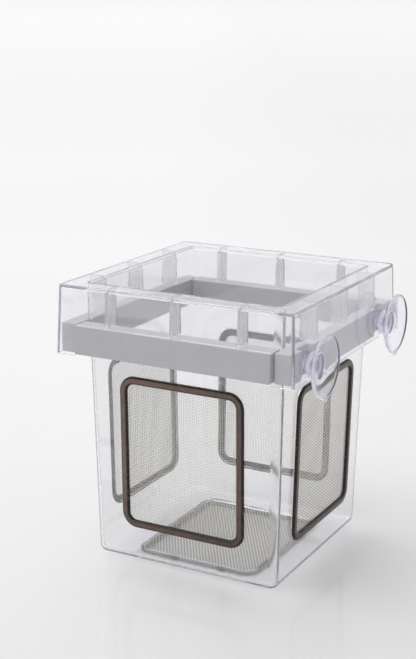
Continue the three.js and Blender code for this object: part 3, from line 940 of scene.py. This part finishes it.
def skirt_opening(m, quarter, along, half_width, corner, top):
    """Cut through one side of the skirt, with round upper corners and open at the bottom."""
    low = TOP - m.skirt_drop - corner - OVERRUN
    half_height = (top - low) / 2
    outline = round_rect(half_width, half_height, corner, OPENING_STEPS) + [along, 0]
    depth = m.skirt_wall + m.skirt_flare + OVERRUN
    cut = prism(outline, -depth, OVERRUN)
    return place(cut, side_frame(quarter, SKIRT_BOTTOM_HALF, top - half_height))


def window_opening(w, where, ring_length, thick):
    """Cut for one window: the ring frame's outline, less what the frame laps the wall."""
    inset = w.ring_lap
    outline = round_rect(
        w.ring_width / 2 - inset, ring_length / 2 - inset, w.ring_corner - inset, WINDOW_STEPS
    )
    return place(prism(outline, -thick - OVERRUN, OVERRUN), where)


class BREEDINGBOX_OT_moulding(bpy.types.Operator):
    """Clear tub, flange, skirt and ribs, as one moulding"""

    bl_idname = "breedingbox.moulding"
    bl_label = "Clear moulding"

    def execute(self, context):
        m, w, c = sizes("moulding"), sizes("windows"), sizes("cups")
        half, corner, z = moulding_section(m).T
        shell = at_height(round_rect(half, half, corner, CORNER_STEPS), z)
        box = grid_piece("clear_moulding", shell + [MIDDLE_X, 0, 0])
        material = clear_plastic()
        box.data.materials.append(material)
        mark(box, "round", "FACE", round_faces(*shell.shape[:2]))
        ribs = block("ribs", [
            rib(m, quarter, side * m.rib_spacing)
            for quarter in SIDES.values() for side in (-1, 0, 1)
        ])
        ribs.data.materials.append(material)
        mark(ribs, "rib", "FACE", np.ones(len(ribs.data.polygons)))
        combine(box, ribs, "UNION")
        cuts = [
            window_opening(w, where, ring, m.floor_thick if side == "floor" else m.wall)
            for side, (where, ring) in window_frames(m, w).items()
        ]
        low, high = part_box("front_float")
        notch_half = (high.x - low.x) / 2 + m.notch_clear
        for side in ("front", "back"):
            cuts.append(skirt_opening(
                m, SIDES[side], 0, notch_half, m.notch_corner, FLOAT_TOP + m.notch_clear
            ))
        slot_half = c.neck_radius + c.slot_clear
        for side in (-1, 1):
            cuts.append(skirt_opening(
                m, SIDES["right"], side * c.spread, slot_half, slot_half,
                cup_height(c) + slot_half,
            ))
        cutter = block("cuts", cuts)
        cutter.data.materials.append(material)
        combine(box, cutter, "DIFFERENCE")
        smooth(box)
        finish(box, "box", "clear_plastic", material, "clear_box")
        return {"FINISHED"}


# Windows


def ring_section(w):
    """Section of a ring frame as (inset from its outer edge, height over the wall): a bar with
    a flat back and broadly rounded front edges."""
    top = w.ring_proud - w.ring_round
    outer = bend(w.ring_round, top, w.ring_round, 2, 1, BAR_STEPS)
    inner = bend(w.ring_bar - w.ring_round, top, w.ring_round, 1, 0, BAR_STEPS)
    return np.concatenate([[[0, w.seat_gap]], outer, inner, [[w.ring_bar, w.seat_gap]]])


class BREEDINGBOX_OT_rings(bpy.types.Operator):
    """Five brown ring frames"""

    bl_idname = "breedingbox.rings"
    bl_label = "Ring frames"

    def execute(self, context):
        m, w = sizes("moulding"), sizes("windows")
        material = brown_plastic()
        inset, height = ring_section(w).T
        # Painted shade and highlight: from 0 at the bar's dark edges and back to 1 along its
        # lighter middle
        painted_bar_light = np.clip(1 - np.abs(2 * inset / w.ring_bar - 1), 0, 1)
        painted_bar_light = np.where(height > w.seat_gap, painted_bar_light, 0)
        for side, (where, ring) in window_frames(m, w).items():
            loops = round_rect(
                w.ring_width / 2 - inset, ring / 2 - inset, w.ring_corner - inset, RING_STEPS
            )
            points = place(at_height(loops, height), where)
            frame_ring = grid_piece(f"{side}_ring_frame", points, wrap_rows=True)
            mark(frame_ring, "bar", "POINT", np.repeat(painted_bar_light, loops.shape[1]))
            smooth(frame_ring, angle=40)
            finish(frame_ring, "box", "brown_plastic", material, f"{side}_ring")
        return {"FINISHED"}


def wires(half_along, half_across, corner, pitch, radius, turn):
    """Wires along X, one at each pitch over the panel, with WIRE_SIDES sides each. A wire's
    middle line is z = turn * radius * cos(pi x / pitch + pi row), so that it goes over one
    crossing wire and under the next, and it ends where the panel's rounded outline does."""
    rows = int(half_across / pitch)
    row = np.arange(-rows, rows + 1)[:, None]
    across = row * pitch
    into_corner = np.clip(np.abs(across) - (half_across - corner), 0, corner)
    reach = half_along - corner + np.sqrt(corner**2 - into_corner**2)
    steps = 2 * int(half_along / pitch) + 1
    along = np.arange(-steps, steps + 1)[None, :] * pitch / 2
    x = np.clip(along, -reach, reach)
    z = turn * radius * np.cos(math.pi * (along / pitch + row))
    angle = (np.arange(WIRE_SIDES) + 0.5) * 2 * math.pi / WIRE_SIDES
    points = np.empty((*x.shape, WIRE_SIDES, 3))
    points[..., 0] = x[..., None] + 0 * angle
    points[..., 1] = across[..., None] + radius * np.cos(angle)
    points[..., 2] = z[..., None] + radius * np.sin(angle)
    return points


def wire_faces(count, steps):
    """Faces of a number of wires, and a face at each end. All of them have four corners, an
    end's as well because a wire has four sides."""
    one_wire = np.concatenate([lattice(steps, WIRE_SIDES), ends(steps, WIRE_SIDES)])
    start = np.arange(count)[:, None, None] * steps * WIRE_SIDES
    return (one_wire + start).reshape(-1, 4)


def woven_panel(w, ring_length):
    """Points and faces of one plain-woven panel."""
    edge = w.ring_lap + w.seat_gap
    half_x, half_y = w.ring_width / 2 - edge, ring_length / 2 - edge
    radius = w.wire / 2
    corner = w.ring_corner - edge
    lengthwise = wires(half_x, half_y, corner, w.pitch, radius, 1)
    crosswise = wires(half_y, half_x, corner, w.pitch, radius, -1)
    crosswise = crosswise[..., [1, 0, 2]][..., ::-1, :]
    points, faces, start = [], [], 0
    for part in (lengthwise, crosswise):
        count, steps = part.shape[:2]
        points.append(part.reshape(-1, 3))
        faces.append(wire_faces(count, steps) + start)
        start += count * steps * WIRE_SIDES
    return np.concatenate(points), np.concatenate(faces)


class BREEDINGBOX_OT_panels(bpy.types.Operator):
    """Five panels of woven stainless wire"""

    bl_idname = "breedingbox.panels"
    bl_label = "Woven panels"

    def execute(self, context):
        m, w = sizes("moulding"), sizes("windows")
        upright = steel_wire("Stainless wire", slope=0.9, period=0.00144, least=0.34)
        level = steel_wire("Floor wire", slope=0, period=0.00185, least=0.2)
        middle = -w.mesh_room / 2
        for side, (where, ring) in window_frames(m, w).items():
            points, faces = woven_panel(w, ring)
            points = place(points + [0, 0, middle], where)
            panel = make(f"{side}_woven_panel", points, faces.tolist())
            panel.data.polygons.foreach_set("use_smooth", np.ones(len(faces), bool))
            material = level if side == "floor" else upright
            finish(panel, "box", "stainless_mesh", material, f"{side}_mesh")
        return {"FINISHED"}


# Foam floats


def fillet(corners, radii, steps):
    """Outline with each corner of a polygon rounded: the arc about the corner's centre, from
    one side's tangent point to the other's, for corners that turn either way."""
    corners = np.asarray(corners, float)
    radii = np.asarray(radii, float)[:, None]
    before = np.roll(corners, 1, axis=0) - corners
    after = np.roll(corners, -1, axis=0) - corners
    before /= np.linalg.norm(before, axis=1, keepdims=True)
    after /= np.linalg.norm(after, axis=1, keepdims=True)
    centre = corners + radii * (before + after)
    start, stop = corners + radii * before, corners + radii * after
    share = np.linspace(0, 1, steps + 1)[None, :, None] * QUARTER
    first, last = (start - centre)[:, None], (stop - centre)[:, None]
    arc = centre[:, None] + first * np.cos(share) + last * np.sin(share)
    return arc.reshape(-1, 2)


def outward(outline):
    """Unit normals of a closed outline that runs anticlockwise."""
    run = np.roll(outline, -1, axis=0) - np.roll(outline, 1, axis=0)
    normal = np.stack([run[:, 1], -run[:, 0]], axis=-1)
    return normal / np.linalg.norm(normal, axis=1, keepdims=True)


def densify(outline, spacing):
    """The outline with its long sides cut into pieces of about one spacing."""
    run = np.roll(outline, -1, axis=0) - outline
    counts = np.maximum(1, np.round(np.linalg.norm(run, axis=1) / spacing)).astype(int)
    parts = [
        start + step * np.arange(count)[:, None] / count
        for start, step, count in zip(outline, run, counts)
    ]
    return np.concatenate(parts)


def strip_points(f, outline, low, high):
    """Foam strip: its outline carried up, pulled in by edge (1 - cos a) along the rounded
    edges, by bulge (2 s - 1)^2 at a share s of its height, and by
    wave (1 - (sin p + sin(quicker p + twist s)) / 2), where p grows along its length."""
    radians_per_metre = [310.0, 270.0]
    quicker, twist = 2.3, 6
    side_rows = 8
    outline = densify(outline, spacing=0.003)
    normals = outward(outline)
    lower = bend(0, low + f.edge, f.edge, -1, 0, FOAM_EDGE_STEPS)
    middle = np.linspace(low + f.edge, high - f.edge, side_rows)[1:-1]
    upper = bend(0, high - f.edge, f.edge, 0, 1, FOAM_EDGE_STEPS)
    inset = np.concatenate([lower[:, 0] - f.edge, 0 * middle, upper[:, 0] - f.edge])
    z = np.concatenate([lower[:, 1], middle, upper[:, 1]])
    share = (z - low) / (high - low)
    bulge = -f.bulge * (2 * share - 1) ** 2
    turn = outline @ radians_per_metre
    waves = np.sin(turn) + np.sin(quicker * turn + twist * share[:, None])
    wave = f.wave * waves / 2 - f.wave
    push = (inset + bulge)[:, None] + wave
    plan = outline + push[..., None] * normals
    return at_height(plan, z)


def box_outline(low, high):
    """Plan of a box, anticlockwise from its left front corner."""
    return np.array([[low.x, low.y], [high.x, low.y], [high.x, high.y], [low.x, high.y]])


def swell_ends(f, outline, inner_x):
    """Pushes the inner face of a side strip in by end_swell past the ring frame, where nothing
    holds the foam back: the share rises as 3 s^2 - 2 s^3 while s goes from 0 to 1 over a
    short run."""
    w = sizes("windows")
    run = 0.008
    share = np.clip((np.abs(outline[:, 1]) - w.ring_width / 2 - f.edge) / run, 0, 1)
    share = share**2 * (3 - 2 * share)
    inward = np.sign(MIDDLE_X - inner_x)
    on_inner_face = np.abs(outline[:, 0] - inner_x) < 2 * f.corner
    moved_x = outline[:, 0] + inward * f.end_swell * share * on_inner_face
    return np.stack([moved_x, outline[:, 1]], axis=-1)


def grooved_outline(f, c, low, high):
    """The right strip's plan, with a groove in its outer side for each cup's head."""
    m = sizes("moulding")
    head_front = MIDDLE_X + skirt_half(m, cup_height(c) + c.head_radius) - m.skirt_wall
    floor_x = head_front - m.notch_clear - c.head_thick - f.groove_clear
    half = f.groove_width / 2
    corners, radii = [[low.x, low.y], [high.x, low.y]], [f.corner, f.corner]
    for side in (-1, 1):
        along = side * c.spread
        corners += [[high.x, along - half], [floor_x, along - half],
                    [floor_x, along + half], [high.x, along + half]]
        radii += [f.corner, f.groove_corner, f.groove_corner, f.corner]
    corners += [[high.x, high.y], [low.x, high.y]]
    radii += [f.corner, f.corner]
    return fillet(corners, radii, FOAM_CORNER_STEPS)


class BREEDINGBOX_OT_floats(bpy.types.Operator):
    """Four strips of foam that keep the box afloat"""

    bl_idname = "breedingbox.floats"
    bl_label = "Foam floats"

    def execute(self, context):
        f, c = sizes("floats"), sizes("cups")
        material = closed_cell_foam()
        for side in SIDES:
            node = f"{side}_float"
            low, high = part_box(node)
            if side == "right":
                outline = grooved_outline(f, c, low, high)
            else:
                outline = fillet(box_outline(low, high), [f.corner] * 4, FOAM_CORNER_STEPS)
            if side in ("left", "right"):
                inner_x = low.x if side == "right" else high.x
                outline = swell_ends(f, densify(outline, spacing=0.002), inner_x)
            strip = grid_piece(f"{side}_foam_strip", strip_points(f, outline, low.z, high.z))
            smooth(strip, angle=40)
            finish(strip, node, "grey_foam", material, node)
        return {"FINISHED"}


# Suction cups


def cup_profile(m, c):
    """Profile of a cup from the back of its head to the middle of its hollow, as rows of
    (x, radius, thick, rim), where thick is 1 on the cloudy parts and rim is 1 on the bead.
    The body's ridges are r - depth (1 + cos 2 pi n s) / 2 along its length s, the disc flares
    as t^flare, the hollow falls as 1 - s^fall, and its pad rises by a logistic step."""
    ridges, flare, fall = 3, 1.35, 2.2
    round_off, pad_slope = 0.0003, 0.0002
    head_rows, body_rows, disc_rows, bead_rows, hollow_rows = 9, 25, 15, 7, 18
    z = cup_height(c)
    head_front = MIDDLE_X + skirt_half(m, z + c.head_radius) - m.skirt_wall - m.notch_clear
    head_back = head_front - c.head_thick
    body_back = MIDDLE_X + skirt_half(m, z - c.body_radius) + m.notch_clear
    disc_back = body_back + c.body_length
    rim = CUP_RIM_X
    dome = 0.55 * c.head_thick
    a = np.linspace(0, QUARTER, head_rows)[1:]
    s = np.linspace(0, 1, body_rows)
    body_x = body_back + c.body_length * s
    body_r = c.body_radius - c.ridge_depth * (1 + np.cos(2 * math.pi * ridges * s)) / 2
    t = np.linspace(0, 1, disc_rows)[1:]
    lip_back = rim - c.lip
    half_lip = c.lip / 2
    disc_x = disc_back + (lip_back - disc_back) * t**flare
    disc_r = c.body_radius + (c.radius - half_lip - c.body_radius) * t
    swing = np.linspace(-1, 1, bead_rows)[1:] * QUARTER
    bead_x = rim - half_lip + half_lip * np.sin(swing)
    bead_r = c.radius - half_lip + half_lip * np.cos(swing)
    s = np.linspace(1, 0, hollow_rows)[:-1]
    hollow_r = s * (c.radius - c.flat)
    depth = c.hollow * (1 - s**fall)
    pad = c.pad_step / (1 + np.exp((hollow_r - c.pad_radius) / pad_slope))
    parts = [
        (head_back + dome * (1 - np.cos(a)), c.head_radius * np.sin(a), 0, 0),
        ([head_front - round_off, head_front], [c.head_radius, c.head_radius - round_off], 0, 0),
        ([head_front, body_back], c.neck_radius, 0, 0),
        (body_x, body_r, 1, 0),
        (disc_x, disc_r, 0, 0),
        (bead_x, bead_r, 1, 1),
        (rim - depth + pad, hollow_r, 0, 0),
    ]
    return np.concatenate([
        np.stack(np.broadcast_arrays(np.asarray(x, float), *others), axis=-1)
        for x, *others in parts
    ])


def cup_points(c, profile):
    """Grid of a cup: its profile carried round the axis, plus a lobe
    exp(-(angle from the bottom / half angle)^squareness) on the rim for the finger tab. The
    angles from the bottom are u - crowding sin u, so that they lie close together at the tab."""
    crowding, squareness = 0.75, 8
    x, radius, _, rim = (column[:, None] for column in profile.T)
    even = np.arange(CUP_SIDES) * 2 * math.pi / CUP_SIDES - math.pi
    from_bottom = even - crowding * np.sin(even)
    angle = from_bottom - QUARTER
    half_angle = c.tab_width / 2 / c.radius
    tab = c.tab_length * np.exp(-((np.abs(from_bottom) / half_angle) ** squareness))
    reach = radius + rim * tab
    return np.stack([x + 0 * angle, reach * np.cos(angle), reach * np.sin(angle)], axis=-1)


def closed_lathe(name, points, first_pole, last_pole):
    """A grid of rings closed by a fan to one point at each end."""
    rows, columns = points.shape[:2]
    faces = lattice(rows, columns).tolist()
    first, last = rows * columns, rows * columns + 1
    ring = np.arange(columns)
    after = (ring + 1) % columns
    faces += np.stack([after, ring, np.full(columns, first)], axis=-1).tolist()
    end = (rows - 1) * columns
    faces += np.stack([end + ring, end + after, np.full(columns, last)], axis=-1).tolist()
    return make(name, np.concatenate([points.reshape(-1, 3), [first_pole, last_pole]]), faces)


class BREEDINGBOX_OT_cups(bpy.types.Operator):
    """Two suction cups in their slots"""

    bl_idname = "breedingbox.cups"
    bl_label = "Suction cups"

    def execute(self, context):
        m, c = sizes("moulding"), sizes("cups")
        clear, milky = soft_vinyl(), milky_vinyl()
        profile = cup_profile(m, c)
        grid = cup_points(c, profile)
        # The faces between two thick rows are milky, and the fans at the poles aren't
        thick_rows = profile[:, 2] == 1
        milky_faces = np.repeat(thick_rows[1:] & thick_rows[:-1], CUP_SIDES)
        milky_faces = np.append(milky_faces, np.zeros(2 * CUP_SIDES)).astype(np.int32)
        pole_rise = 0.00002
        back_pole = [profile[0, 0] - pole_rise, 0, 0]
        hollow_pole = [profile[-1, 0], 0, 0]
        for name, side in (("near_cup", -1), ("far_cup", 1)):
            centre = np.array([0, side * c.spread, cup_height(c)])
            cup = closed_lathe(
                f"{name}_vinyl", grid + centre, back_pole + centre, hollow_pole + centre
            )
            for material in (clear, milky):
                cup.data.materials.append(material)
            cup.data.polygons.foreach_set("material_index", milky_faces)
            smooth(cup, angle=40)
            finish(cup, name, "soft_vinyl", clear, name)
        return {"FINISHED"}


class BREEDINGBOX_PT_panel(bpy.types.Panel):
    """A button for each group of pieces, and all sizes and colours"""

    bl_label = "Breeding box"
    bl_space_type = "VIEW_3D"
    bl_region_type = "UI"
    bl_category = "Breeding box"

    def draw(self, context):
        for operator in OPERATORS:
            self.layout.operator(operator.bl_idname)
        for kind in GROUPS:
            column = self.layout.column(heading=kind.title())
            for name in getattr(context.scene, kind).__annotations__:
                column.prop(getattr(context.scene, kind), name)


GROUPS = {
    "moulding": MouldingSizes,
    "windows": WindowSizes,
    "floats": FloatSizes,
    "cups": CupSizes,
    "finishes": Finishes,
}
OPERATORS = (
    BREEDINGBOX_OT_stage,
    BREEDINGBOX_OT_moulding,
    BREEDINGBOX_OT_rings,
    BREEDINGBOX_OT_panels,
    BREEDINGBOX_OT_floats,
    BREEDINGBOX_OT_cups,
)


def register():
    for kind in (*GROUPS.values(), *OPERATORS, BREEDINGBOX_PT_panel):
        bpy.utils.register_class(kind)
    for name, kind in GROUPS.items():
        setattr(bpy.types.Scene, name, bpy.props.PointerProperty(type=kind))


def unregister():
    for name in GROUPS:
        delattr(bpy.types.Scene, name)
    for kind in (BREEDINGBOX_PT_panel, *reversed(OPERATORS), *reversed(GROUPS.values())):
        bpy.utils.unregister_class(kind)


def main():
    register()
    moulded_group()
    scratch_group()
    dust_group()
    bpy.ops.breedingbox.stage()
    bpy.ops.breedingbox.moulding()
    bpy.ops.breedingbox.rings()
    bpy.ops.breedingbox.panels()
    bpy.ops.breedingbox.floats()
    bpy.ops.breedingbox.cups()


if __name__ == "__main__":
    main()
